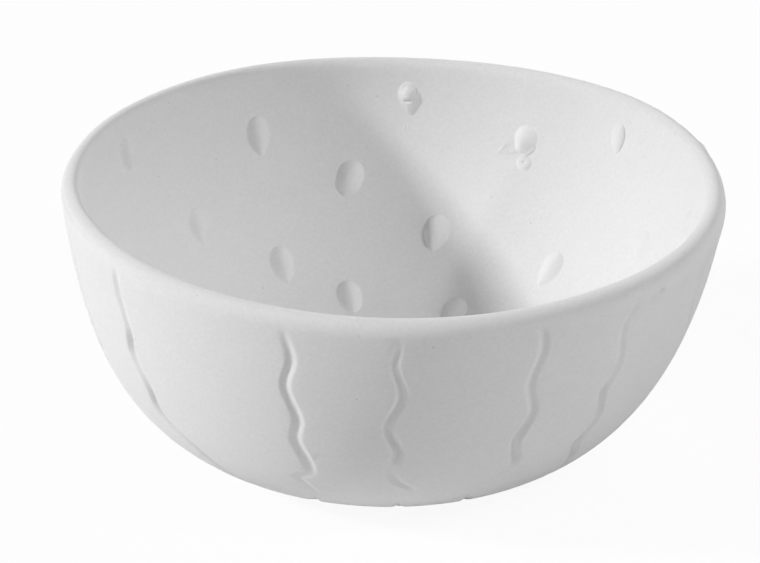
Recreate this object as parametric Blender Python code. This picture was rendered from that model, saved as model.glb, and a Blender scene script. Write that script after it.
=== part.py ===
"""Sauce bowl in unglazed white earthenware.

A turned body carries eight wavy stripes, scored down its outside wall, and rows of raised
seeds, which are small drops of clay applied to its inside wall.
Metres, +Z up. The origin is the middle of the ring that the bowl stands on. The bowl faces -Y.
"""

import math

import bmesh
import bpy
from mathutils import Vector

# Body
RIM_DIAMETER = 0.120
BOWL_HEIGHT = 0.050
LIP_THICKNESS = 0.003
WALL_AT_FOOT = 0.0055
FLOOR_THICKNESS = 0.004
FOOT_DIAMETER = 0.062
FOOT_RING_WIDTH = 0.005
FOOT_RECESS = 0.0008

# Curve of the outside wall: its slope and pull at the foot, and its flare and pull at the rim
FOOT_SLOPE = math.radians(17.6)
FOOT_PULL = 0.0165
RIM_FLARE = math.radians(7.5)
RIM_PULL = 0.0302
FLOOR_PULL = 0.004

# Stripes: each is a pair of scored edges, which swell and narrow together down the wall
STRIPE_COUNT = 8
STRIPE_ANGLE = math.radians(17.2)
FIRST_STRIPE = math.radians(213)
STRIPE_DRIFT = (-3.0, 4.0, 1.0, -2.0)
WAVE_LENGTH = 0.013
WAVE_REACH = 0.0009
NECK_BELOW_RIM = 0.021
GROOVE_WIDTH = 0.0036
GROOVE_DEPTH = 0.0006
GROOVE_BELOW_RIM = 0.0035
GROOVE_ABOVE_FOOT = 0.0085
GROOVE_FADE = 0.004
SPREAD_ABOVE_FOOT = 0.015
SPREAD_REACH = 0.004

# Seeds: a drop with its round end up. Places are set by hand: degrees to the right of the back,
# and millimetres above the foot. The front half repeats them, half a turn on.
SEED_LENGTH = 0.0074
SEED_WIDTH = 0.0050
SEED_HEIGHT = 0.0011
SEED_GAP = 0.0003
SEED_PLACES = (
    (-63, 43), (-28, 37), (3, 42.5), (28, 36.5), (50, 42.5), (83, 37),
    (-48, 24), (-9, 27), (67, 27), (99, 22),
    (-28, 14), (11, 18), (43, 16.5), (76, 14),
    (-12, 8.5), (21, 8), (55, 8),
)

# Facets. A seed's rings are given as shares of its outline and of its height.
TURN_STEPS = 64
OUTSIDE_STEPS = 9
INSIDE_STEPS = 12
LIP_STEPS = 6
FLOOR_STEPS = 3
GROOVE_STEPS = 26
TOOL_RESOLUTION = 6
SEED_SIDES = 16
SEED_RINGS = ((1.0, 0.0), (0.86, 0.55), (0.5, 0.9))
SHARP_CORNER = math.radians(40)

# Bisque, as a linear colour
BISQUE_WHITE = (0.80, 0.80, 0.80, 1.0)
BISQUE_ROUGHNESS = 0.9

MILLIMETRE = 0.001
WELD = 0.000001
HALVINGS = 40

LIP_RADIUS = LIP_THICKNESS / 2
FOOT_RADIUS = FOOT_DIAMETER / 2


def cubic(controls, share):
    """Point on a cubic curve, and its direction there, for a share of the way from 0 to 1."""
    start, pull_out, pull_in, end = controls
    rest = 1 - share
    point = start * rest**3 + pull_out * 3 * rest**2 * share + pull_in * 3 * rest * share**2 + end * share**3
    travel = (pull_out - start) * rest**2 + (pull_in - pull_out) * 2 * rest * share + (end - pull_in) * share**2
    return point, travel.normalized()


def ease(share):
    """Smooth step from 0 to 1."""
    share = min(max(share, 0.0), 1.0)
    return share * share * (3 - 2 * share)


def lip_centre():
    """Middle of the round lip, as radius and height."""
    return Vector((RIM_DIAMETER / 2 - LIP_RADIUS, BOWL_HEIGHT - LIP_RADIUS))


def outside_wall(share):
    """Point on the outside wall, from foot to lip, and the direction out of the clay there."""
    foot = Vector((FOOT_RADIUS, 0))
    foot_direction = Vector((math.cos(FOOT_SLOPE), math.sin(FOOT_SLOPE)))
    rim_direction = Vector((math.sin(RIM_FLARE), math.cos(RIM_FLARE)))
    rim = lip_centre() + Vector((math.cos(RIM_FLARE), -math.sin(RIM_FLARE))) * LIP_RADIUS
    controls = (foot, foot + foot_direction * FOOT_PULL, rim - rim_direction * RIM_PULL, rim)
    point, travel = cubic(controls, share)
    return point, Vector((travel.y, -travel.x))


def inside_wall(share):
    """Point on the inside wall, from floor to lip, and the direction into the bowl there."""
    point, outward = outside_wall(share)
    thickness = WALL_AT_FOOT + (LIP_THICKNESS - WALL_AT_FOOT) * share
    return point - outward * thickness, -outward


def share_at_height(wall, height):
    """How far up a wall a height lies, found by halving."""
    low, high = 0.0, 1.0
    for _ in range(HALVINGS):
        middle = (low + high) / 2
        if wall(middle)[0].y < height:
            low = middle
        else:
            high = middle
    return low


def half_section():
    """Outline of the clay from the middle of the underside, round the lip, to the middle of the floor."""
    recess_radius = FOOT_RADIUS - FOOT_RING_WIDTH
    outline = [Vector((0, FOOT_RECESS)), Vector((recess_radius - FOOT_RECESS, FOOT_RECESS))]
    outline.append(Vector((recess_radius, 0)))
    outline += [outside_wall(step / OUTSIDE_STEPS)[0] for step in range(OUTSIDE_STEPS + 1)]
    for step in range(1, LIP_STEPS):
        turn = math.pi * step / LIP_STEPS - RIM_FLARE
        outline.append(lip_centre() + Vector((math.cos(turn), math.sin(turn))) * LIP_RADIUS)
    outline += [inside_wall(1 - step / INSIDE_STEPS)[0] for step in range(INSIDE_STEPS + 1)]
    corner = outline[-1]
    downhill = Vector((-math.cos(FOOT_SLOPE), -math.sin(FOOT_SLOPE)))
    middle = Vector((0, FLOOR_THICKNESS))
    floor = (corner, corner + downhill * FLOOR_PULL, middle + Vector((corner.x / 2, 0)), middle)
    outline += [cubic(floor, step / FLOOR_STEPS)[0] for step in range(1, FLOOR_STEPS + 1)]
    return outline


def add_object(name, mesh, material):
    """Put a mesh in the scene, shaded smooth apart from its real corners."""
    mesh.materials.append(material)
    mesh.shade_smooth()
    mesh.set_sharp_from_angle(angle=SHARP_CORNER)
    part = bpy.data.objects.new(name, mesh)
    bpy.context.scene.collection.objects.link(part)
    return part


def turned_mesh(name, outline):
    """Turn a half section, given as radius and height, round the Z axis."""
    bm = bmesh.new()
    corners = [bm.verts.new((point.x, 0, point.y)) for point in outline]
    edges = [bm.edges.new(pair) for pair in zip(corners, corners[1:])]
    bmesh.ops.spin(bm, geom=corners + edges, cent=(0, 0, 0), axis=(0, 0, 1), steps=TURN_STEPS, angle=math.tau)
    bmesh.ops.remove_doubles(bm, verts=bm.verts, dist=WELD)
    bmesh.ops.recalc_face_normals(bm, faces=bm.faces)
    mesh = bpy.data.meshes.new(name)
    bm.to_mesh(mesh)
    bm.free()
    return mesh


def stripe_direction(index):
    """Direction of a stripe's middle round the bowl, with the small drift of work done by hand."""
    drift = STRIPE_DRIFT[index % len(STRIPE_DRIFT)]
    return FIRST_STRIPE + math.tau * index / STRIPE_COUNT + math.radians(drift)


def groove_path(stripe, side, tool_radius):
    """Path of a round-nosed tool down one edge of a stripe. It sinks in and lifts out gradually."""
    top = BOWL_HEIGHT - GROOVE_BELOW_RIM
    neck = BOWL_HEIGHT - NECK_BELOW_RIM
    clear = GROOVE_DEPTH / 2
    path = []
    for step in range(GROOVE_STEPS + 1):
        height = top + (GROOVE_ABOVE_FOOT - top) * step / GROOVE_STEPS
        wall, outward = outside_wall(share_at_height(outside_wall, height))
        swing = -WAVE_REACH * math.cos(math.tau * (height - neck) / WAVE_LENGTH)
        spread = SPREAD_REACH * ease((SPREAD_ABOVE_FOOT - height) / (SPREAD_ABOVE_FOOT - GROOVE_ABOVE_FOOT))
        direction = stripe_direction(stripe) + side * (STRIPE_ANGLE / 2 + (swing + spread) / wall.x)
        bite = ease((top - height) / GROOVE_FADE) * ease((height - GROOVE_ABOVE_FOOT) / GROOVE_FADE)
        centre = wall + outward * (tool_radius + clear - bite * (GROOVE_DEPTH + clear))
        path.append((centre.x * math.cos(direction), centre.x * math.sin(direction), centre.y))
    return path


def stripe_tool():
    """All the tool's paths as round bars, which cut the grooves out of the body."""
    tool_radius = (GROOVE_WIDTH**2 / 4 + GROOVE_DEPTH**2) / (2 * GROOVE_DEPTH)
    curve = bpy.data.curves.new("stripe_paths", "CURVE")
    curve.dimensions = "3D"
    curve.bevel_depth = tool_radius
    curve.bevel_resolution = TOOL_RESOLUTION
    curve.use_fill_caps = True
    for stripe in range(STRIPE_COUNT):
        for side in (-1, 1):
            path = groove_path(stripe, side, tool_radius)
            spline = curve.splines.new("POLY")
            spline.points.add(len(path) - 1)
            for point, place in zip(spline.points, path):
                point.co = (*place, 1.0)
    bars = bpy.data.objects.new("stripe_paths", curve)
    tool = bpy.data.objects.new("stripe_tool", bpy.data.meshes.new_from_object(bars))
    bpy.data.objects.remove(bars)
    bpy.context.scene.collection.objects.link(tool)
    tool.hide_render = True
    tool.display_type = "WIRE"
    return tool


def make_body(material):
    """The turned bowl, with its stripes scored in."""
    body = add_object("bowl_body", turned_mesh("bowl_body", half_section()), material)
    scoring = body.modifiers.new("scored stripes", "BOOLEAN")
    scoring.operation = "DIFFERENCE"
    scoring.solver = "EXACT"
    scoring.object = stripe_tool()
    return body


def drop_outline():
    """Teardrop outline of a seed, as distances across and up the wall, with its round end up."""
    outline = []
    fullest = 4 / math.sqrt(27)
    for side in range(SEED_SIDES):
        turn = math.tau * side / SEED_SIDES
        across = SEED_WIDTH / 2 * math.sin(turn) * abs(math.cos(turn / 2)) / fullest
        outline.append((across, SEED_LENGTH / 2 * math.cos(turn)))
    return outline


def seed_mesh(height):
    """A domed drop whose back follows the inside wall at this height, in the direction of +X."""
    middle = share_at_height(inside_wall, height)
    nudge = 0.001
    pace = (inside_wall(middle + nudge)[0] - inside_wall(middle - nudge)[0]).length / (2 * nudge)

    def on_wall(across, up, lift):
        wall, inward = inside_wall(middle + up / pace)
        turn = across / wall.x
        place = wall + inward * lift
        return place.x * math.cos(turn), place.x * math.sin(turn), place.y

    bm = bmesh.new()
    rings = []
    for size, rise in SEED_RINGS:
        lift = SEED_GAP + rise * SEED_HEIGHT
        rings.append([bm.verts.new(on_wall(across * size, up * size, lift)) for across, up in drop_outline()])
    crown = bm.verts.new(on_wall(0, 0, SEED_GAP + SEED_HEIGHT))
    back = bm.verts.new(on_wall(0, 0, SEED_GAP))
    for side in range(SEED_SIDES):
        following = (side + 1) % SEED_SIDES
        for lower, upper in zip(rings, rings[1:]):
            bm.faces.new((lower[side], lower[following], upper[following], upper[side]))
        bm.faces.new((rings[-1][side], rings[-1][following], crown))
        bm.faces.new((rings[0][following], rings[0][side], back))
    bmesh.ops.recalc_face_normals(bm, faces=bm.faces)
    mesh = bpy.data.meshes.new("seed")
    bm.to_mesh(mesh)
    bm.free()
    return mesh


def make_seeds(body, material):
    """Every seed, turned round the bowl's axis to its place on the wall."""
    number = 0
    for half in range(2):
        for right_of_back, height in SEED_PLACES:
            number += 1
            seed = add_object(f"seed_{number:02d}", seed_mesh(height * MILLIMETRE), material)
            seed.rotation_euler.z = math.radians(90 - right_of_back) + math.pi * half
            seed.parent = body


def bisque(name):
    """Fired clay without glaze: white and matt."""
    material = bpy.data.materials.new(name)
    material.use_nodes = True
    shader = material.node_tree.nodes["Principled BSDF"]
    shader.inputs["Base Color"].default_value = BISQUE_WHITE
    shader.inputs["Roughness"].default_value = BISQUE_ROUGHNESS
    shader.inputs["Metallic"].default_value = 0.0
    return material


def main():
    for thing in list(bpy.data.objects):
        bpy.data.objects.remove(thing)
    body = make_body(bisque("body_bisque"))
    make_seeds(body, bisque("seed_bisque"))


main()
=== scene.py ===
# %% [markdown]
# # A sauce bowl in white bisque
# Bisque is clay that has been fired once and has no glaze, so it is white, dry and matt. This bowl is one
# turned shell. Wavy stripes are scored down its outside, and small drops of clay, called seeds here, stand
# up from its inside wall.
#
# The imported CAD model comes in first, as a fixed frame in metres. Each piece made below replaces one of its
# nodes, at the same place, with the softer shapes and the finish that the fired clay has.

# %% Load the CAD frame
import math

import bpy
from mathutils import Matrix, Vector, noise


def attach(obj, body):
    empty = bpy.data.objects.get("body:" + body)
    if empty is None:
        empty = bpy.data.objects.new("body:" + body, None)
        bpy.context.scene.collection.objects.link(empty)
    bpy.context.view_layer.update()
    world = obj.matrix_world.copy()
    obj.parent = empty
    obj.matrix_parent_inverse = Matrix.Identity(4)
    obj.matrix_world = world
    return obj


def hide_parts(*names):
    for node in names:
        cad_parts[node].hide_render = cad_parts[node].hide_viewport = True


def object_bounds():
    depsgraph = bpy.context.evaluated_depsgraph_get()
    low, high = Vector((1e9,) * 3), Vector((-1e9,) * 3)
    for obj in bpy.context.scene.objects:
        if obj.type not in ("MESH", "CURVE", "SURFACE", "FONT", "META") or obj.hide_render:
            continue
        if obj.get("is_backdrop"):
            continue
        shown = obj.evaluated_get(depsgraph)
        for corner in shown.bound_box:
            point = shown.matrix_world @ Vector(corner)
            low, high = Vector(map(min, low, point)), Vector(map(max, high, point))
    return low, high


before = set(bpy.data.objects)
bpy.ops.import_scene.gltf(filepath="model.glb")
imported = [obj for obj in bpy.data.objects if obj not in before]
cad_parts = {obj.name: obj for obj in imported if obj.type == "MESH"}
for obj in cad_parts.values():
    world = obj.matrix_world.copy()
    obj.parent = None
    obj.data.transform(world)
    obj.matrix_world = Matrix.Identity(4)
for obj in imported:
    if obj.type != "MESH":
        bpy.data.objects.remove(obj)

MM = 0.001
cad_box = [list(corner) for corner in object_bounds()]
print("CAD nodes:", len(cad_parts), "- box in mm:", [[round(n / MM, 2) for n in c] for c in cad_box])

# %% [markdown]
# ## The curve of the wall
# A potter cuts a rib to the curve of the wall and holds it against the turning clay. Here the rib is one
# cubic curve, given by where it starts and ends and how hard it pulls in each direction. It could be traced
# by eye with a Bezier curve. Writing it as a function is better here, because the stripes and the seeds have
# to sit on the same wall later. The inside follows the outside, a wall's thickness in.

# %% The wall as a function
RIM_RADIUS = (cad_box[1][0] - cad_box[0][0]) / 2
HEIGHT = cad_box[1][2]
LIP_RADIUS = 1.5 * MM
FOOT_RADIUS = 31 * MM
WALL_AT_LIP, WALL_AT_FOOT = 3.6 * MM, 5.5 * MM
LIP_DROP = 3.4 * MM
FOOT_SLOPE, FOOT_PULL = math.radians(17.6), 16.5 * MM
RIM_FLARE, RIM_PULL = math.radians(7.5), 30.2 * MM
HALVINGS = 30


def cubic(controls, share):
    """A point on a cubic curve and its direction there, for a share of the way from 0 to 1."""
    a, b, c, d = controls
    rest = 1 - share
    point = a * rest**3 + b * 3 * rest**2 * share + c * 3 * rest * share**2 + d * share**3
    travel = (b - a) * rest**2 + (c - b) * 2 * rest * share + (d - c) * share**2
    return point, travel.normalized()


lip_centre = Vector((RIM_RADIUS - LIP_RADIUS, HEIGHT - LIP_RADIUS))
foot_edge = Vector((FOOT_RADIUS, 0))
rim_edge = lip_centre + Vector((math.cos(RIM_FLARE), -math.sin(RIM_FLARE))) * LIP_RADIUS
rib = (
    foot_edge,
    foot_edge + Vector((math.cos(FOOT_SLOPE), math.sin(FOOT_SLOPE))) * FOOT_PULL,
    rim_edge - Vector((math.sin(RIM_FLARE), math.cos(RIM_FLARE))) * RIM_PULL,
    rim_edge,
)


def outside_wall(share):
    """Radius and height on the outside wall, from foot to lip, and the direction out of the clay."""
    point, travel = cubic(rib, share)
    return point, Vector((travel.y, -travel.x))


def inside_wall(share):
    """Radius and height on the inside wall, from floor to lip, and the direction into the bowl."""
    point, outward = outside_wall(share)
    return point - outward * (WALL_AT_FOOT + (WALL_AT_LIP - WALL_AT_FOOT) * share), -outward


def share_at_height(wall, height):
    """How far up a wall a height lies, found by halving."""
    low, high = 0.0, 1.0
    for _ in range(HALVINGS):
        middle = (low + high) / 2
        if wall(middle)[0].y < height:
            low = middle
        else:
            high = middle
    return low


def ease(share):
    """A smooth step from 0 to 1."""
    share = min(max(share, 0.0), 1.0)
    return share * share * (3 - 2 * share)


print("outside wall at mid height, mm:", outside_wall(share_at_height(outside_wall, HEIGHT / 2))[0] / MM)

# %% [markdown]
# ## The half-section
# Seen from the side, half of the clay is one outline that starts and ends on the axis: under the foot, up the
# outside, over the lip, down the inside and across the floor. The lip is a tall soft arch, as if wiped round
# with a wet finger: it starts to turn more than three millimetres below its top. The outline is drawn as by
# hand: one point, extruded again and again. The outside has the closest points, because the stripes are
# scored into it.

# %% Points of the half-section
OUTSIDE_ROWS, LIP_ROWS, INSIDE_ROWS, FLOOR_ROWS = 92, 9, 42, 14
FLOOR_THICKNESS, FLOOR_PULL = 4 * MM, 4 * MM
RECESS_EDGE = ((0.0, 0.8), (12.0, 0.8), (22.0, 0.8), (24.4, 0.8), (25.0, 0.74), (25.5, 0.52), (25.8, 0.28),
               (26.2, 0.07), (26.8, 0.0), (28.5, 0.0), (30.2, 0.0))
ARCH_PULL, TOP_PULL = 0.55, 0.75

outer_end = share_at_height(outside_wall, HEIGHT - LIP_DROP)
inner_end = share_at_height(inside_wall, HEIGHT - LIP_DROP)
(outer_edge, outward), (inner_edge, inward) = outside_wall(outer_end), inside_wall(inner_end)
lip_top = Vector(((outer_edge.x + inner_edge.x) / 2, HEIGHT))
half_width = Vector(((outer_edge.x - inner_edge.x) / 2, 0))
outer_arch = (outer_edge, outer_edge + Vector((-outward.y, outward.x)) * LIP_DROP * ARCH_PULL,
              lip_top + half_width * TOP_PULL, lip_top)
inner_arch = (lip_top, lip_top - half_width * TOP_PULL,
              inner_edge + Vector((inward.y, -inward.x)) * LIP_DROP * ARCH_PULL, inner_edge)

section = [Vector(point) * MM for point in RECESS_EDGE]
section += [outside_wall(outer_end * row / OUTSIDE_ROWS)[0] for row in range(OUTSIDE_ROWS)]
section += [cubic(outer_arch, row / LIP_ROWS)[0] for row in range(LIP_ROWS)]
section += [cubic(inner_arch, row / LIP_ROWS)[0] for row in range(LIP_ROWS)]
section += [inside_wall(inner_end * (1 - row / INSIDE_ROWS))[0] for row in range(INSIDE_ROWS + 1)]
floor_edge, floor_middle = section[-1], Vector((0, FLOOR_THICKNESS))
floor_curve = (
    floor_edge,
    floor_edge - Vector((math.cos(FOOT_SLOPE), math.sin(FOOT_SLOPE))) * FLOOR_PULL,
    floor_middle + Vector((floor_edge.x / 2, 0)),
    floor_middle,
)
section += [cubic(floor_curve, row / FLOOR_ROWS)[0] for row in range(1, FLOOR_ROWS + 1)]
print("points in the half-section:", len(section), "- lip is", round(2 * half_width.x / MM, 2), "mm wide")

# %% Draw it by extruding a point
bpy.ops.object.select_all(action="DESELECT")
bpy.ops.mesh.primitive_plane_add(size=MM)
shell = bpy.context.object
shell.name = shell.data.name = "bowl_shell"
bpy.ops.object.mode_set(mode="EDIT")
bpy.ops.mesh.merge(type="CENTER")
bpy.ops.transform.translate(value=(section[0].x, 0, section[0].y))
for here, there in zip(section, section[1:]):
    step = there - here
    bpy.ops.mesh.extrude_vertices_move(TRANSFORM_OT_translate={"value": (step.x, 0, step.y)})
bpy.ops.object.mode_set(mode="OBJECT")
print("drawn:", len(shell.data.vertices), "points,", len(shell.data.edges), "edges")

# %% [markdown]
# ## Where the stripes go
# Each stripe has two scored edges that swing in and out as they run down the wall, and turn away near the
# foot. They were scored by hand, so the eight lines of the four front stripes all differ. Each turn of a line
# below is a height, a sideways swing to the right as seen from outside, both in millimetres, and how hard the
# tool was pressed. The back of the bowl is out of sight, so the same four stripes are repeated there.

# %% Lines of the stripes
STRIPE_DIRECTIONS = (210, 262, 304, 346, 30, 82, 124, 166)
STRIPE_HALF_ANGLE = 8.6
ASLANT_STRIPE = 1
LEFT_EDGES = (
    ((48, -8.6, 1.4), (42, -6.2, 2.0), (36, -4.8, 2.0), (31, -3.4, 2.2), (27, -2.0, 2.0), (22, -2.2, 1.6),
     (16, -3.0, 1.0), (10, -4.6, 0.5), (3, -4.0, 0.2)),
    ((48, -1.0, 0.35), (46, -0.95, 0.55), (41, 0.1, 0.95), (35.3, -1.2, 1.05), (28.2, 0.8, 0.95),
     (23.6, 0.05, 0.9), (19, 1.4, 0.85), (16.6, 1.8, 0.75), (14.9, 1.4, 0.45), (13.4, -0.6, 0.4),
     (12, -0.1, 0.6), (10, 0.8, 0.45), (8.6, 1.2, 0.15), (6, 0.2, 0.5), (3, -1.25, 1.3)),
    ((48, -0.5, 0.9), (46.6, -0.3, 1.1), (42, 0.65, 1.3), (35, -0.75, 1.25), (28.4, 1.0, 1.6),
     (22, -0.6, 2.6), (19, 0.1, 2.9), (16.8, 0.8, 2.2), (15.2, 0.2, 0.6), (12.4, -2.4, 0.4),
     (9.5, -3.6, 0.4), (7, -4.0, 0.6), (3, -1.75, 1.1)),
    ((48, -0.4, 0.6), (43, 0.2, 1.0), (36.5, -0.3, 1.0), (31, 2.2, 1.1), (26, 1.4, 1.0), (20, 0.4, 0.9),
     (12, -3.0, 0.5), (3, -4.0, 0.2)),
)
RIGHT_EDGES = (
    ((48, -1.3, 1.1), (44, -2.0, 1.3), (36, -0.4, 1.2), (31.6, -0.9, 3.0), (28.6, 0.0, 1.0), (24, 1.4, 1.9),
     (20.6, 1.5, 2.6), (18, 2.5, 1.6), (13.4, 7.0, 1.6), (9, 9.5, 0.9), (5, 11.5, 0.1)),
    ((48, 0.6, 0.4), (45, 0.5, 0.75), (41.6, -0.1, 1.05), (35, 1.65, 1.7), (28.4, -0.5, 2.0),
     (25.4, 0.2, 2.6), (22.2, 1.6, 2.4), (19, 1.0, 0.9), (17, 0.8, 0.9), (14, 2.0, 1.1), (11.4, 4.6, 0.5),
     (9, 3.4, 0.0), (6, 2.3, 0.6), (3, 2.4, 0.8)),
    ((48, 1.0, 0.7), (45.2, 1.1, 0.9), (41.2, 0.1, 0.9), (34.2, 1.3, 1.3), (31, 0.7, 1.7), (28.2, -0.6, 2.4),
     (23.2, 0.7, 2.0), (20, 0.5, 1.4), (16.4, -1.0, 3.0), (13, 0.6, 2.8), (9, 1.4, 1.2), (3, 1.6, 0.2)),
    ((48, 0.2, 0.6), (42, -0.7, 1.0), (36, 0.8, 1.0), (29, -0.9, 1.0), (23, 0.6, 1.0), (17, 1.8, 0.9),
     (12, 3.8, 0.5), (3, 4.2, 0.2)),
)


def stroke_at(turns, height):
    """Sideways swing and press of a scored line at a height: a smooth curve through its turns."""
    if height >= turns[0][0]:
        return Vector(turns[0][1:])
    if height <= turns[-1][0]:
        return Vector(turns[-1][1:])
    place = next(i for i in range(len(turns) - 1) if turns[i + 1][0] <= height)
    before, upper = Vector(turns[max(place - 1, 0)]), Vector(turns[place])
    lower, after = Vector(turns[place + 1]), Vector(turns[min(place + 2, len(turns) - 1)])
    run = lower.x - upper.x
    share = (height - upper.x) / run
    lean_upper = (lower - before) / (lower.x - before.x) * run
    lean_lower = (after - upper) / (after.x - upper.x) * run
    blended = (
        upper * ((1 + 2 * share) * (1 - share) ** 2) + lean_upper * (share * (1 - share) ** 2)
        + lower * ((3 - 2 * share) * share**2) - lean_lower * (share**2 * (1 - share))
    )
    return blended.yz


scored_lines = []
for number, middle in enumerate(STRIPE_DIRECTIONS):
    pattern = number % len(LEFT_EDGES)
    left_start, right_start = (middle - STRIPE_HALF_ANGLE) % 360, (middle + STRIPE_HALF_ANGLE) % 360
    scored_lines.append((left_start, pattern == ASLANT_STRIPE, LEFT_EDGES[pattern]))
    scored_lines.append((right_start, False, RIGHT_EDGES[pattern]))
scored_lines.sort()
directions = [line[0] for line in scored_lines]
print("scored lines start at these directions:", [round(direction, 1) for direction in directions])

# %% [markdown]
# ## Turn it on the wheel
# Spin sweeps the half-section round the axis in even steps. The clay needs close columns only where it is
# scored, so the columns are then gathered: close ones across each line and across a short dash under the lip,
# with one exactly along the bottom of each line, and wider ones between. The seam and the axis are merged
# first.

# %% Spin the half-section
CLOSE_HALF_ANGLE, CLOSE_STEPS = 3.0, 20
WIDE_STEP = 1.8
DASH_DIRECTION = 318.95
MERGE_WITHIN = 0.002 * MM

columns, reached = [], 0.0
for direction in sorted(directions + [DASH_DIRECTION]):
    start = direction - CLOSE_HALF_ANGLE
    wide = max(1, round((start - reached) / WIDE_STEP))
    columns += [reached + (start - reached) * step / wide for step in range(wide)]
    columns += [start + 2 * CLOSE_HALF_ANGLE * step / CLOSE_STEPS for step in range(CLOSE_STEPS)]
    reached = direction + CLOSE_HALF_ANGLE
wide = max(1, round((360 - reached) / WIDE_STEP))
columns += [reached + (360 - reached) * step / wide for step in range(wide)]

bpy.ops.object.mode_set(mode="EDIT")
bpy.ops.mesh.select_all(action="SELECT")
bpy.ops.mesh.spin(steps=len(columns), angle=-math.tau, center=(0, 0, 0), axis=(0, 0, 1))
bpy.ops.mesh.select_all(action="SELECT")
bpy.ops.mesh.remove_doubles(threshold=MERGE_WITHIN)
bpy.ops.mesh.normals_make_consistent(inside=False)
bpy.ops.object.mode_set(mode="OBJECT")
print("columns:", len(columns))
print("shell:", len(shell.data.vertices), "points,", len(shell.data.polygons), "faces")

# %% [markdown]
# ## Score the stripes
# The tool leaves a narrow round-bottomed valley between two soft banks. The banks are alike, but for one line
# in eight, where the tool was held aslant low down and left a wider bank. A Boolean cut would leave thin
# slivers and hard edges. Instead the columns slide sideways until they run along each line, a vertex group
# says how hard the tool was pressed, and a Displace modifier presses the clay in by that much. A short mark
# runs from one direction and height to another, and has a reach in millimetres and a press of its own.

# %% How the tool runs
GROOVE_DEPTH, PRESS_LIMIT = 0.42 * MM, 3.0
BANK, NOSE, BANK_CURVE = 1.15, 0.3, 1.2
WIDE_BANK, WIDE_BANK_BELOW, WIDE_BANK_FADE = 1.55, 24, 10
TOP_OF_LINES, TOP_FADE = 48.4, 4.6
FOOT_OF_LINES, FOOT_FADE = 0.3, 1.6
SLOPE_REACH, SLOPE_SHARE = 0.4, 0.8
SAME_DIRECTION = 0.01
SHORT_MARKS = (
    ((255.8, 17.8), (257.8, 20.6), 0.42, 0.25),
    ((251.8, 14.0), (252.8, 13.2), 0.9, 0.5),
    ((317.7, 45.7), (320.2, 46.3), 0.7, 3.0),
)

strokes = {}


def stroke(line, height):
    """Swing and press of one line at a height in millimetres, kept after it is first worked out."""
    key = (line, round(height, 2))
    if key not in strokes:
        strokes[key] = stroke_at(scored_lines[line][2], height)
    return strokes[key]


def mark_distance(mark, direction, height, radius):
    """Distance in millimetres along the wall from a short mark."""
    (start, low), (end, high) = mark[0], mark[1]
    here = Vector((math.radians(direction - start) * radius, height - low))
    run = Vector((math.radians(end - start) * radius, high - low))
    share = min(max(here.dot(run) / run.length_squared, 0), 1)
    return (here - run * share).length


def score(direction, height, radius):
    """Where a column runs at a height, and how hard the tool is pressed there. Millimetres and degrees."""
    after = next((i for i, start in enumerate(directions) if start > direction + SAME_DIRECTION), 0)
    before = after - 1
    past, ahead = (direction - directions[before] + 1) % 360 - 1, (directions[after] - direction) % 360
    between = ease((past - CLOSE_HALF_ANGLE) / (past + ahead - 2 * CLOSE_HALF_ANGLE))
    shift = stroke(before, height).x * (1 - between) + stroke(after, height).x * between
    line, offset = (before, past) if past < ahead else (after, -ahead)
    above, below = stroke(line, height + SLOPE_REACH), stroke(line, height - SLOPE_REACH)
    slope = (above.x - below.x) / (2 * SLOPE_REACH)
    distance = math.radians(offset) * radius / math.hypot(1, slope * SLOPE_SHARE)
    bank = BANK
    if scored_lines[line][1] and distance < 0:
        bank = WIDE_BANK + (BANK - WIDE_BANK) * ease((height - WIDE_BANK_BELOW) / WIDE_BANK_FADE)
    part = (math.hypot(distance, NOSE) - NOSE) / (math.hypot(bank, NOSE) - NOSE)
    press = max(0.0, 1 - part) ** BANK_CURVE * max(stroke(line, height).y, 0.0)
    above_foot = ease((height - FOOT_OF_LINES) / FOOT_FADE)
    press *= ease((TOP_OF_LINES - height) / TOP_FADE) * above_foot
    direction += math.degrees(shift / radius) * above_foot
    for mark in SHORT_MARKS:
        reach, mark_press = mark[2:]
        away = mark_distance(mark, direction, height, radius)
        press = max(press, mark_press * max(0.0, 1 - away / reach))
    return direction, press


print("scored lines:", len(scored_lines), "- short marks beside them:", len(SHORT_MARKS))

# %% Slide the columns along the lines and weigh the press
SCORED_FROM, SCORED_TO = 0.5 * MM, 48.5 * MM
STEPS_PER_MM = 4

step_heights = [step * MM / STEPS_PER_MM for step in range(round(HEIGHT / MM * STEPS_PER_MM))]
outside_radius = [outside_wall(share_at_height(outside_wall, height))[0].x for height in step_heights]


def on_outside(radius, height):
    """Whether a point below the lip lies on the outside wall, and not on the inside one."""
    return radius > outside_radius[max(int(height / MM * STEPS_PER_MM), 0)] - MM


scored = shell.vertex_groups.new(name="scored")
pressed = 0
for vertex in shell.data.vertices:
    radius, height = math.hypot(vertex.co.x, vertex.co.y), vertex.co.z
    if radius < MM:
        continue
    column = round(math.degrees(math.atan2(vertex.co.y, vertex.co.x)) / 360 * len(columns)) % len(columns)
    direction, press = columns[column], 0.0
    if SCORED_FROM < height < SCORED_TO and on_outside(radius, height):
        direction, press = score(direction, height / MM, radius / MM)
    if press > 0:
        scored.add([vertex.index], min(press / PRESS_LIMIT, 1.0), "REPLACE")
        pressed += 1
    turned = math.radians(direction)
    vertex.co.x, vertex.co.y = radius * math.cos(turned), radius * math.sin(turned)
print("points pressed:", pressed)

# %% [markdown]
# ## Signs of the hand
# The bowl isn't quite true. Its foot sits a little to one side, and its rim rises and dips by up to about a
# millimetre. One function holds both, because the seeds have to follow the wall that they sit on. A wave is a
# direction and a width, in degrees to the right of the back, and a rise in millimetres. The lip is thicker at
# the front right, and a crumb of clay, a dent and a low bump lie on its right side.

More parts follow.
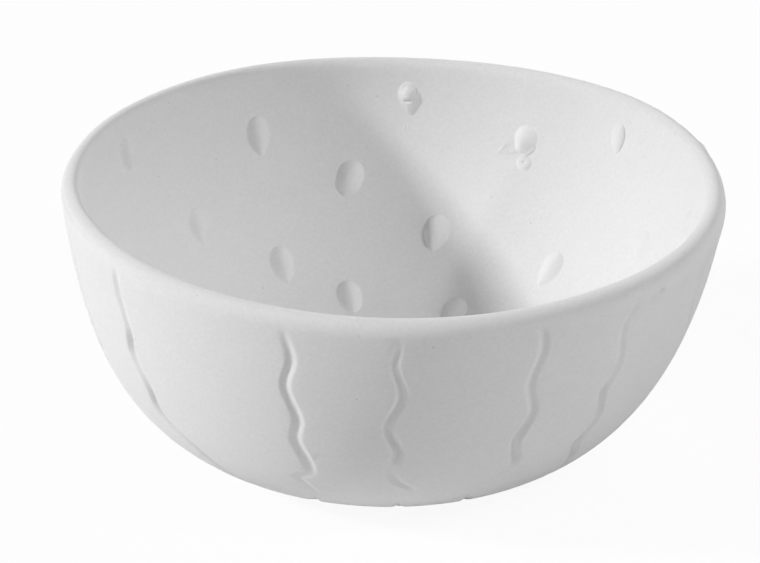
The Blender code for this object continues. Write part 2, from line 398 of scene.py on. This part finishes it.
# %% Settle the clay
FOOT_LEAN = 1.05 * MM
RIM_WAVES = ((-112, 28, 1.0), (-66, 13, 0.42), (-36, 18, 0.4), (3, 20, -0.45), (54, 22, 0.85),
             (68, 12, 0.2), (172, 30, -0.4))
WAVES_FROM = 0.2
THICK_LIP_DIRECTION, THICK_LIP_SPREAD = -43, 27
THICK_LIP_OUT, THICK_LIP_IN = 1.0 * MM, 0.4 * MM
THICK_LIP_REACH, THICK_LIP_FADE = 9 * MM, 6 * MM
RIM_MARKS = ((16.4, 0.55, 0.32), (26.3, 0.8, -0.14), (32.4, 1.2, 0.12))
RIM_MARK_REACH, RIM_MARK_UPWARD = 2.2 * MM, 0.4
LIP_FROM = 48 * MM
UNEVEN_FADE, UNEVEN_INSIDE = 8 * MM, 0.3


def settle(point):
    """The place that a point of the true bowl has on the handled one."""
    right_of_back = 90 - math.degrees(math.atan2(point.y, point.x))
    wave = 0
    for at, width, rise in RIM_WAVES:
        away = (right_of_back - at + 180) % 360 - 180
        wave += rise * math.exp(-((away / width) ** 2))
    lean = -FOOT_LEAN * ease(1 - point.z / HEIGHT)
    return point + Vector((lean, 0, wave * MM * ease(point.z / HEIGHT - WAVES_FROM)))


handled = shell.vertex_groups.new(name="handled")
for vertex in shell.data.vertices:
    radius, height = math.hypot(vertex.co.x, vertex.co.y), vertex.co.z
    uneven_share = 1.0 if height > LIP_FROM or on_outside(radius, height) else UNEVEN_INSIDE
    handled.add([vertex.index], ease(height / UNEVEN_FADE) * uneven_share, "REPLACE")
    direction = math.degrees(math.atan2(vertex.co.y, vertex.co.x))
    side = (radius - lip_top.x) / half_width.x
    if height > HEIGHT - THICK_LIP_REACH:
        thicker = min(max(side, -1), 1) * (THICK_LIP_OUT if side > 0 else THICK_LIP_IN)
        thicker *= ease((height - HEIGHT + THICK_LIP_REACH) / THICK_LIP_FADE)
        thicker *= math.exp(-(((direction - THICK_LIP_DIRECTION) / THICK_LIP_SPREAD) ** 2))
        vertex.co += Vector((vertex.co.x, vertex.co.y, 0)) / radius * thicker
    if side > 0 and height > HEIGHT - RIM_MARK_REACH:
        for at, breadth, rise in RIM_MARKS:
            grow = max(0.0, 1 - ((direction - at) / breadth) ** 2) * rise * side
            push = Vector((math.cos(math.radians(at)), math.sin(math.radians(at)), RIM_MARK_UPWARD))
            vertex.co += push * grow * MM
    vertex.co = settle(vertex.co)
print("rim rises and dips between mm:", [rise for _, _, rise in RIM_WAVES])

# %% Press the lines in, and let the clay be a little uneven
UNEVEN_SIZE, UNEVEN_HEIGHT = 26 * MM, 0.16 * MM

pressing = shell.modifiers.new("pressed lines", "DISPLACE")
pressing.vertex_group = "scored"
pressing.mid_level = 0.0
pressing.strength = -GROOVE_DEPTH * PRESS_LIMIT

clouds = bpy.data.textures.new("uneven_clay", "CLOUDS")
clouds.noise_scale = UNEVEN_SIZE
clouds.noise_depth = 1
uneven = shell.modifiers.new("uneven clay", "DISPLACE")
uneven.texture = clouds
uneven.texture_coords = "LOCAL"
uneven.vertex_group = "handled"
uneven.strength = UNEVEN_HEIGHT

bpy.ops.object.select_all(action="DESELECT")
shell.select_set(True)
bpy.context.view_layer.objects.active = shell
for modifier in list(shell.modifiers):
    bpy.ops.object.modifier_apply(modifier=modifier.name)
shell.vertex_groups.clear()
bpy.ops.object.shade_smooth()
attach(shell, "root")
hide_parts("bowl_body")
print("shell box in mm:", [round(n / MM, 2) for n in shell.dimensions])

# %% [markdown]
# ## One seed, on the bench
# A seed is a drop of clay with its round end up. It is modelled once, flat and in millimetres: the outline is
# a circle pinched into a drop, and rings are extruded from it, each smaller, to its middle. Its back goes a
# little way down, so that it sits in the wall with no gap. The rings alone would make a cone with a crease to
# its point, so each copy's rings are then lifted by a formula: round across, and falling away more slowly to
# the point than to the round end.

# %% Model the drop
SEED_LENGTH, SEED_WIDTH, SEED_ROOT = 7.4, 5.0, 0.5
SEED_SIDES, SEED_RINGS, MIDDLE_UP = 48, 12, 0.5
PINCH, RING_LIFT = 0.55, 0.1
CREST_ROUND, CREST_POINT, CREST_TOP = 0.75, 0.25, 0.88
LEVEL = 1e-5


def half_breadth(along, pinch):
    """Breadth of a drop, from its middle line to its edge, for -1 at the point to 1 at the round end."""
    return math.sqrt(max(1 - along**2, 0)) * ((1 + along) / 2) ** (pinch / 2)


def swell(across, along, shoulder, slant):
    """Height of a drop as a share: 1 near its middle and 0 at its edge. Across goes from -1 to 1."""
    across, along = min(max(across, -1), 1), min(max(along, -1), 1)
    crest = (1 - along**2) ** CREST_ROUND * ((1 + along) / 2) ** CREST_POINT / CREST_TOP
    return crest * (1 - across**2) ** shoulder * (1 + slant * across)


fullest = max(half_breadth(step / 50 - 1, PINCH) for step in range(101))
bpy.ops.object.select_all(action="DESELECT")
bpy.ops.mesh.primitive_circle_add(vertices=SEED_SIDES, radius=1)
drop = bpy.context.object
drop.name = "bench_drop"
for vertex in drop.data.vertices:
    breadth = half_breadth(vertex.co.y, PINCH) / fullest * SEED_WIDTH / 2
    vertex.co = Vector((math.copysign(breadth, vertex.co.x), vertex.co.y * SEED_LENGTH / 2, 0))

bpy.ops.object.mode_set(mode="EDIT")
bpy.ops.mesh.select_all(action="SELECT")
size = 1.0
for ring in range(1, SEED_RINGS + 1):
    wanted = math.cos(math.pi / 2 * ring / (SEED_RINGS + 0.5))
    bpy.ops.mesh.extrude_edges_move(TRANSFORM_OT_translate={"value": (0, 0, RING_LIFT)})
    bpy.ops.transform.resize(value=(wanted / size, wanted / size, 1), center_override=(0, MIDDLE_UP, 0))
    size = wanted
bpy.ops.mesh.merge(type="CENTER")
bpy.ops.mesh.select_all(action="DESELECT")
bpy.ops.object.mode_set(mode="OBJECT")
for edge in drop.data.edges:
    edge.select = all(abs(drop.data.vertices[i].co.z) < LEVEL for i in edge.vertices)
for vertex in drop.data.vertices:
    vertex.select = abs(vertex.co.z) < LEVEL
bpy.ops.object.mode_set(mode="EDIT")
bpy.ops.mesh.extrude_edges_move(TRANSFORM_OT_translate={"value": (0, 0, -SEED_ROOT)})
bpy.ops.mesh.extrude_edges_move(TRANSFORM_OT_translate={"value": (0, 0, 0)})
bpy.ops.mesh.merge(type="CENTER")
bpy.ops.mesh.select_all(action="SELECT")
bpy.ops.mesh.normals_make_consistent(inside=False)
bpy.ops.object.mode_set(mode="OBJECT")
print("drop:", len(drop.data.vertices), "points, mm:", [round(n, 2) for n in drop.dimensions])

# %% [markdown]
# ## Shape and lay the seeds
# Each copy has its own mesh, and is laid on the curve of the wall: across the drop becomes a turn round the
# axis, along it becomes a way up the wall, and its height stands off the wall. The seeds on the back half all
# differ, so each has its place, in degrees to the right of the back and millimetres above the foot, a nudge
# across and up, a clockwise tilt, and a width, length and height. The last three numbers say how full its
# lower half is, how steeply its sides drop, and to which side it is thicker. The inside of the front wall is
# out of sight, so the same places are used again there, half a turn on.

# %% Places and shapes of the seeds
TOP_UNEVEN, TOP_GRAIN, TOP_STRIDE, ABOVE_EDGE = 0.1, 0.5, 7.3, 0.01
SMALL_SHARE = 0.001
SEEDS = (
    ((-63, 43), (-0.8, -0.4), 0, (4.7, 6.6, 1.15), (0.0, 1.5, -0.2)),
    ((-28, 37), (-0.55, -0.2), -5, (5.2, 8.2, 1.2), (-0.1, 1.7, -0.35)),
    ((3, 42.5), (-0.27, 0), 0, (5.0, 7.4, 0.7), (0.0, 1.5, 0.1)),
    ((28, 36.5), (-0.13, 0), 0, (5.4, 6.3, 1.1), (0.3, 1.5, -0.6)),
    ((50, 42.5), (0.1, -0.2), -3, (3.8, 6.0, 0.5), (0.2, 0.7, 0.8)),
    ((83, 37), (0, 0), -5, (5.0, 7.4, 0.85), (0.0, 1.5, 0.0)),
    ((-48, 24), (0.85, 0.1), 2, (4.9, 6.8, 0.75), (0.0, 1.8, -0.75)),
    ((-9, 27), (-0.1, 0.2), 18, (5.5, 7.4, 1.35), (0.5, 1.15, -0.35)),
    ((67, 27), (0, 0), 0, (4.7, 6.8, 0.6), (0.0, 1.5, 0.0)),
    ((99, 22), (0, 0), 6, (5.0, 7.4, 0.95), (0.1, 1.5, 0.0)),
    ((-28, 14), (0.15, -0.1), 0, (5.2, 7.7, 1.4), (0.1, 1.6, -0.15)),
    ((11, 18), (0.4, -0.1), 4, (5.4, 7.3, 1.45), (0.1, 1.2, -0.6)),
    ((43, 16.5), (0.0, -0.3), 11, (4.8, 7.6, 0.75), (0.0, 1.5, 0.3)),
    ((76, 14), (0, 0), 4, (5.1, 7.6, 1.0), (0.1, 1.5, 0.0)),
    ((-12, 8.5), (0.6, -0.3), -3, (5.2, 7.7, 1.55), (0.3, 1.6, -0.15)),
    ((21, 8), (0.4, -1.7), 0, (5.0, 7.4, 1.1), (0.2, 1.0, 0.0)),
    ((55, 8), (0, 0), -7, (5.0, 7.4, 1.05), (0.1, 1.5, 0.0)),
)


def shape_drop(mesh, sizes, build, number):
    """Stretch a copy of the bench drop to one seed's own shape, with a slightly uneven top."""
    (width, length, height), (full, shoulder, slant) = sizes, build
    for vertex in mesh.vertices:
        point = vertex.co.copy()
        along = 2 * point.y / SEED_LENGTH
        breadth = half_breadth(min(max(along, -1), 1), PINCH) / fullest * SEED_WIDTH / 2
        if point.z > ABOVE_EDGE:
            grain = noise.noise(point * TOP_GRAIN + Vector((0, 0, TOP_STRIDE * number)))
            across = point.x / max(breadth, 1e-6)
            point.z = height * (1 + TOP_UNEVEN * grain) * swell(across, along, shoulder, slant)
        point.x *= width / SEED_WIDTH * (1 + full * ease(-along))
        point.y *= length / SEED_LENGTH
        vertex.co = point


def lay_on_wall(points, place, nudge, tilt):
    """Places on the inside wall for points given as millimetres across, up and off the wall."""
    right_of_back, height = place
    middle = share_at_height(inside_wall, height * MM)
    above, below = inside_wall(middle + SMALL_SHARE)[0], inside_wall(middle - SMALL_SHARE)[0]
    pace = (above - below).length / (2 * SMALL_SHARE)
    turn = Matrix.Rotation(math.radians(-tilt), 2)
    laid = []
    for point in points:
        across, up = (turn @ point.xy + Vector(nudge)) * MM
        wall, inward = inside_wall(middle + up / pace)
        spot = wall + inward * point.z * MM
        direction = math.radians(90 - right_of_back) - across / wall.x
        laid.append(settle(Vector((spot.x * math.cos(direction), spot.x * math.sin(direction), spot.y))))
    return laid


print("seeds on each half:", len(SEEDS))

# %% [markdown]
# Two seeds near the rim weren't wiped clean. On the first a ball of clay sits on the round end, with torn
# pits under it, and two thin runs of slip go down the wall. The second ends in a low ring with a pit in it,
# and there are smears at its side. Drops can't show that, so these two are worked up from a fine flat sheet,
# like a relief: the seed is raised out of the sheet, then each ball and run is added and each pit pushed in.
# The rest of the sheet lies just under the wall.

# %% Two rough seeds
SHEET_WIDTH, SHEET_TOP, SHEET_BOTTOM, SHEET_STEP = 12.0, 3.8, -7.6, 0.12
SHEET_LEVEL, LEVEL_LOSS, PIT_LIMIT, SHEET_BACK = -0.06, 0.5, 0.2, -1
ROUGH_CREST, BALL_CURVE, RUN_ENDS = 0.4, 1.2, 0.6
RELIEFS = {
    3: {"seed": ((0.35, -0.05), -13),
        "balls": (((-0.1, 1.0), 1.7, 0.3),),
        "runs": (((-0.33, -5.2), (-0.38, -7.2), 0.32, 0.15), ((0.5, -4.7), (0.3, -6.3), 0.28, 0.14),
                 ((-0.5, -0.35), (0.45, -0.5), 0.2, -0.36), ((-0.6, -0.9), (0.5, -2.9), 0.5, 0.12),
                 ((-1.2, 1.4), (-0.5, 2.3), 0.35, -0.12), ((-0.5, 2.3), (0.9, 2.1), 0.35, -0.12)),
        "pits": (((1.0, -0.2), 0.22, 0.16), ((1.65, 1.7), 0.24, 0.5))},
    4: {"seed": ((0.45, 0.25), -3),
        "balls": (((0.75, -4.0), 1.85, 0.5),),
        "runs": (((2.4, -0.9), (0.9, -2.5), 0.35, 0.16), ((-5.3, -3.3), (-4.5, -2.2), 0.45, 0.11),
                 ((-4.5, -2.2), (-3.8, -1.0), 0.45, 0.11), ((-3.8, -1.0), (-2.4, -0.5), 0.5, 0.12),
                 ((-4.2, -2.5), (-2.0, -2.2), 0.45, 0.11), ((-2.0, -2.2), (-0.9, -1.5), 0.6, 0.15)),
        "pits": (((0.77, -3.8), 0.2, 0.3), ((0.75, -3.7), 1.0, 0.28), ((1.5, -2.4), 0.4, 0.08))},
}


def relief(point, number, sizes, build):
    """Height of a rough seed's sheet at a point, in millimetres."""
    parts = RELIEFS[number]
    (width, length, height), (full, shoulder, slant) = sizes, build
    middle, tilt = parts["seed"]
    here = Matrix.Rotation(math.radians(tilt), 2) @ (point - Vector(middle))
    along = 2 * here.y / length
    lift = 0.0
    if abs(along) < 1:
        breadth = half_breadth(along, PINCH) / fullest * width / 2 * (1 + full * ease(-along))
        if abs(here.x) < breadth:
            lift = height * swell(here.x / breadth, along, shoulder, slant) * (1 - along**2) ** ROUGH_CREST
    for at, radius, rise in parts["balls"]:
        lift += rise * max(0.0, 1 - ((point - Vector(at)).length / radius) ** 2) ** BALL_CURVE
    for start, end, breadth, rise in parts["runs"]:
        run = Vector(end) - Vector(start)
        share = min(max((point - Vector(start)).dot(run) / run.length_squared, 0), 1)
        away = (point - Vector(start) - run * share).length / breadth
        lift += rise * math.exp(-(away**2)) * (RUN_ENDS + (1 - RUN_ENDS) * math.sin(math.pi * share))
    for at, radius, depth in parts["pits"]:
        lift -= depth * math.exp(-(((point - Vector(at)).length / radius) ** 2))
    return max(lift + SHEET_LEVEL * (1 - min(lift, 1) * LEVEL_LOSS), SHEET_LEVEL - PIT_LIMIT)


def rough_seed(number, sizes, build):
    """A fine sheet raised into a rough seed, with a flat back."""
    bpy.ops.object.select_all(action="DESELECT")
    length = SHEET_TOP - SHEET_BOTTOM
    bpy.ops.mesh.primitive_grid_add(
        x_subdivisions=round(SHEET_WIDTH / SHEET_STEP), y_subdivisions=round(length / SHEET_STEP), size=1)
    sheet = bpy.context.object
    bpy.ops.object.mode_set(mode="EDIT")
    bpy.ops.mesh.select_all(action="SELECT")
    bpy.ops.transform.resize(value=(SHEET_WIDTH, length, 1))
    bpy.ops.transform.translate(value=(0, (SHEET_TOP + SHEET_BOTTOM) / 2, 0))
    bpy.ops.object.mode_set(mode="OBJECT")
    for vertex in sheet.data.vertices:
        vertex.co.z = relief(vertex.co.xy, number, sizes, build)
    bpy.ops.object.mode_set(mode="EDIT")
    bpy.ops.mesh.select_all(action="SELECT")
    bpy.ops.mesh.extrude_region_move(TRANSFORM_OT_translate={"value": (0, 0, SHEET_BACK)})
    bpy.ops.transform.resize(value=(1, 1, 0), center_override=(0, 0, SHEET_BACK))
    bpy.ops.mesh.select_all(action="SELECT")
    bpy.ops.mesh.normals_make_consistent(inside=False)
    bpy.ops.object.mode_set(mode="OBJECT")
    return sheet


print("rough seeds:", sorted(RELIEFS))

# %% Lay all the seeds
seeds = []
for half in range(2):
    for (right_of_back, height), nudge, tilt, sizes, build in SEEDS:
        number = len(seeds) + 1
        if number in RELIEFS:
            seed = rough_seed(number, sizes, build)
        else:
            seed = bpy.data.objects.new("seed", drop.data.copy())
            bpy.context.scene.collection.objects.link(seed)
            shape_drop(seed.data, sizes, build, number)
        seed.name = seed.data.name = f"seed_drop_{number:02d}"
        points = [vertex.co.copy() for vertex in seed.data.vertices]
        laid = lay_on_wall(points, (right_of_back + 180 * half, height), nudge, tilt)
        for vertex, spot in zip(seed.data.vertices, laid):
            vertex.co = spot
        seed.data.shade_smooth()
        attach(seed, "root")
        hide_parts(f"seed_{number:02d}")
        seeds.append(seed)
bpy.data.objects.remove(drop)
print("seeds laid:", len(seeds))

# %% [markdown]
# ## Bisque
# Fired clay looks plain from far away. Close up its white is finely mottled, and it has a dry tooth and a few
# pinholes where air came out. One texture could be painted for this, but noise on Object coordinates has no
# seams and keeps its scale on every piece. The pinholes are the middles of Voronoi cells that happen to lie
# on the surface. Each one is pressed in a little by the bump, and its colour is darkened as well. That
# darkening is painted shade, standing in for the shade that falls inside the hole.

# %% Material
CLAY_WHITE, CLAY_GRAIN, CLAY_ROUGHNESS = (0.865, 0.873), (0.974, 1.026), (0.86, 0.98)
CLAY_SHINE = 0.15
WHITE_SCALE, GRAIN_SCALE, ROUGHNESS_SCALE = 300, 1700, 900
# The darkest pinhole colour set here is painted shade, for the shade that falls inside each hole.
PINHOLE_SCALE, PINHOLE_PAINTED_SHADE, PINHOLE_MIDDLE, PINHOLE_EDGE = 210, 0.78, 0.02, 0.045
TOOTH_SCALE, TOOTH_STRENGTH, TOOTH_HEIGHT = 1900, 0.35, 0.06 * MM


def bisque(name, offset):
    """Matt white fired clay: broad and fine mottle, a dry tooth, and scattered pinholes with painted shade in
    them.
    """
    material = bpy.data.materials.new(name)
    material.use_nodes = True
    nodes, links = material.node_tree.nodes, material.node_tree.links
    shader = nodes["Principled BSDF"]
    shader.inputs["Specular IOR Level"].default_value = CLAY_SHINE
    place = nodes.new("ShaderNodeTexCoord")
    shift = nodes.new("ShaderNodeMapping")
    shift.inputs["Location"].default_value = (offset, offset * 0.7, offset * 1.3)
    links.new(place.outputs["Object"], shift.inputs["Vector"])

    def speckle(scale, detail):
        texture = nodes.new("ShaderNodeTexNoise")
        texture.inputs["Scale"].default_value = scale
        texture.inputs["Detail"].default_value = detail
        links.new(shift.outputs["Vector"], texture.inputs["Vector"])
        return texture.outputs["Fac"]

    def spread(value, low, high, from_low=0.3, from_high=0.7):
        span = nodes.new("ShaderNodeMapRange")
        span.inputs["From Min"].default_value, span.inputs["From Max"].default_value = from_low, from_high
        span.inputs["To Min"].default_value, span.inputs["To Max"].default_value = low, high
        links.new(value, span.inputs["Value"])
        return span.outputs["Result"]

    def times(first, second):
        product = nodes.new("ShaderNodeMath")
        product.operation = "MULTIPLY"
        links.new(first, product.inputs[0])
        links.new(second, product.inputs[1])
        return product.outputs["Value"]

    cells = nodes.new("ShaderNodeTexVoronoi")
    cells.inputs["Scale"].default_value = PINHOLE_SCALE
    links.new(shift.outputs["Vector"], cells.inputs["Vector"])
    # Pinholes get darker towards each cell's middle. In the colour this is painted shade; in the bump it is a
    # small real dent.
    pinhole_dents_and_painted_shade = spread(cells.outputs["Distance"], PINHOLE_PAINTED_SHADE, 1.0, PINHOLE_MIDDLE, PINHOLE_EDGE)
    white = spread(speckle(WHITE_SCALE, 2), *CLAY_WHITE)
    grain = spread(speckle(GRAIN_SCALE, 3), *CLAY_GRAIN)
    # Base colour: random mottle and grain, times the painted shade of the pinholes.
    links.new(times(times(white, grain), pinhole_dents_and_painted_shade), shader.inputs["Base Color"])
    links.new(spread(speckle(ROUGHNESS_SCALE, 2), *CLAY_ROUGHNESS), shader.inputs["Roughness"])

    tooth = nodes.new("ShaderNodeBump")
    tooth.inputs["Strength"].default_value = TOOTH_STRENGTH
    tooth.inputs["Distance"].default_value = TOOTH_HEIGHT
    links.new(times(speckle(TOOTH_SCALE, 3), pinhole_dents_and_painted_shade), tooth.inputs["Height"])
    links.new(tooth.outputs["Normal"], shader.inputs["Normal"])
    return material


body_bisque = bisque("body_bisque_fired", 0.0)
seed_bisque = bisque("seed_bisque_fired", 0.35)
shell.data.materials.append(body_bisque)
for seed in seeds:
    seed.data.materials.append(seed_bisque)
print("materials:", body_bisque.name, seed_bisque.name)

# %% [markdown]
# ## Table and light
# The bowl stands on a plain white table that fades into a white room. A ray from the camera, or one that is
# mirrored or goes through glass, sees nearly white paper with a faint shadow on it; every other ray sees
# plain paper, which throws soft light back up. A small lamp low on the left is the main light. It throws the
# shadow of the rim across the inside. Two small, weaker lamps on the right and six large cards fill the rest.
# No lamp is in view, so their places and strengths were fitted to the shadows and shades of the photograph.

# %% Table
TABLE_SIZE, PAPER_WHITE, PAPER_GLOW = 3.0, 0.9, 0.93


def seen_directly(nodes, links):
    """A value that is 1 for rays from the camera, and for mirrored and refracted ones."""
    path = nodes.new("ShaderNodeLightPath")
    total = path.outputs["Is Camera Ray"]
    for kind in ("Is Glossy Ray", "Is Transmission Ray"):
        both = nodes.new("ShaderNodeMath")
        both.operation = "MAXIMUM"
        links.new(total, both.inputs[0])
        links.new(path.outputs[kind], both.inputs[1])
        total = both.outputs["Value"]
    return total


bpy.ops.object.select_all(action="DESELECT")
bpy.ops.mesh.primitive_plane_add(size=TABLE_SIZE)
table = bpy.context.object
table.name = "white_table"
paper = bpy.data.materials.new("white_paper")
paper.use_nodes = True
nodes, links = paper.node_tree.nodes, paper.node_tree.links
nodes.remove(nodes["Principled BSDF"])
plain, bright, glow = (nodes.new(f"ShaderNode{kind}") for kind in ("BsdfDiffuse", "BsdfDiffuse", "Emission"))
plain.inputs["Color"].default_value = (PAPER_WHITE, PAPER_WHITE, PAPER_WHITE, 1)
bright.inputs["Color"].default_value = (1, 1, 1, 1)
nearly_white, blend = nodes.new("ShaderNodeMixShader"), nodes.new("ShaderNodeMixShader")
nearly_white.inputs["Fac"].default_value = PAPER_GLOW
links.new(bright.outputs["BSDF"], nearly_white.inputs[1])
links.new(glow.outputs["Emission"], nearly_white.inputs[2])
links.new(seen_directly(nodes, links), blend.inputs["Fac"])
links.new(plain.outputs["BSDF"], blend.inputs[1])
links.new(nearly_white.outputs["Shader"], blend.inputs[2])
links.new(blend.outputs["Shader"], nodes["Material Output"].inputs["Surface"])
table.data.materials.append(paper)
table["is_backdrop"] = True
print("table:", table.name, [round(n, 2) for n in table.dimensions], "m")

# %% World
world = bpy.data.worlds.new("studio")
bpy.context.scene.world = world
world.use_nodes = True
nodes, links = world.node_tree.nodes, world.node_tree.links
dark = nodes["Background"]
dark.inputs["Strength"].default_value = 0.0
white = nodes.new("ShaderNodeBackground")
white.inputs["Color"].default_value = (1, 1, 1, 1)
white.inputs["Strength"].default_value = 1.0
blend = nodes.new("ShaderNodeMixShader")
links.new(seen_directly(nodes, links), blend.inputs["Fac"])
links.new(dark.outputs["Background"], blend.inputs[1])
links.new(white.outputs["Background"], blend.inputs[2])
links.new(blend.outputs["Shader"], nodes["World Output"].inputs["Surface"])
print("world:", world.name)

# %% Lamps
CARD_DISTANCE, CARD_SIZE = 1.2, 0.6
CARDS = (
    ("low_left_card", 205, 10, 0.95),
    ("right_card", 0, 38, 1.2),
    ("back_right_card", 60, 38, 1.73),
    ("back_card", 90, 22, 3.1),
    ("front_left_card", 240, 56, 0.6),
    ("front_right_card", 300, 56, 1.35),
)


def soft_lamp(name, direction, elevation, distance, size, watts, roll=0.0):
    """A square soft box that faces the bowl. Direction is from +X, anticlockwise, and angles are degrees."""
    lamp = bpy.data.lights.new(name, "AREA")
    lamp.energy, lamp.size = watts, size
    stand = bpy.data.objects.new(name, lamp)
    bpy.context.scene.collection.objects.link(stand)
    a, e = math.radians(direction), math.radians(elevation)
    aim = Vector((math.cos(a) * math.cos(e), math.sin(a) * math.cos(e), math.sin(e)))
    stand.location = aim * distance + Vector((0, 0, HEIGHT / 2))
    level = aim.to_track_quat("Z", "Y").to_matrix()
    stand.rotation_euler = (level @ Matrix.Rotation(math.radians(roll), 3, "Z")).to_euler()


soft_lamp("key_lamp", direction=189.7, elevation=27.5, distance=3.0, size=0.3, watts=60, roll=-20)
soft_lamp("fill_lamp_low", direction=334.5, elevation=38.3, distance=1.2, size=0.06, watts=2.6)
soft_lamp("fill_lamp_high", direction=340.5, elevation=43.8, distance=1.2, size=0.06, watts=0.68)
for name, direction, elevation, watts in CARDS:
    soft_lamp(name, direction, elevation, CARD_DISTANCE, CARD_SIZE, watts)
print("cards:", [card[0] for card in CARDS])

# %% [markdown]
# ## Camera
# The photograph looks down at the bowl from about 26 degrees, with a long lens. The camera's place and lens
# were fitted to the outline of the bowl.

# %% Camera
IMAGE_WIDTH, SENSOR_WIDTH = 760, 36
DISTANCE, ELEVATION, ROLL = 720 * MM, math.radians(25.62), math.radians(0.75)
PIXELS_PER_FOCUS = 3933.6
TARGET = Vector((0, 0, 25.5 * MM))
TARGET_RIGHT, TARGET_DOWN = 11.9, 17.7

camera = bpy.data.objects.new("camera", bpy.data.cameras.new("camera"))
bpy.context.scene.collection.objects.link(camera)
camera.data.sensor_width = SENSOR_WIDTH
camera.data.lens = PIXELS_PER_FOCUS * SENSOR_WIDTH / IMAGE_WIDTH
forward = Vector((0, math.cos(ELEVATION), -math.sin(ELEVATION)))
right, up = Vector((1, 0, 0)), Vector((0, math.sin(ELEVATION), math.cos(ELEVATION)))
camera.location = TARGET - forward * DISTANCE
aim = (forward - right * TARGET_RIGHT / PIXELS_PER_FOCUS + up * TARGET_DOWN / PIXELS_PER_FOCUS).normalized()
level = aim.to_track_quat("-Z", "Y").to_matrix().to_4x4()
camera.rotation_euler = (level @ Matrix.Rotation(ROLL, 4, "Z")).to_euler()
bpy.context.scene.camera = camera
bpy.context.scene.view_settings.view_transform = "Standard"
print("camera lens mm:", round(camera.data.lens, 1), "at", [round(n, 3) for n in camera.location])

# %% Measure the size
size = {"cad": cad_box, "visual": [list(corner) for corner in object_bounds()]}
print("visual box in mm:", [[round(n / MM, 2) for n in corner] for corner in size["visual"]])
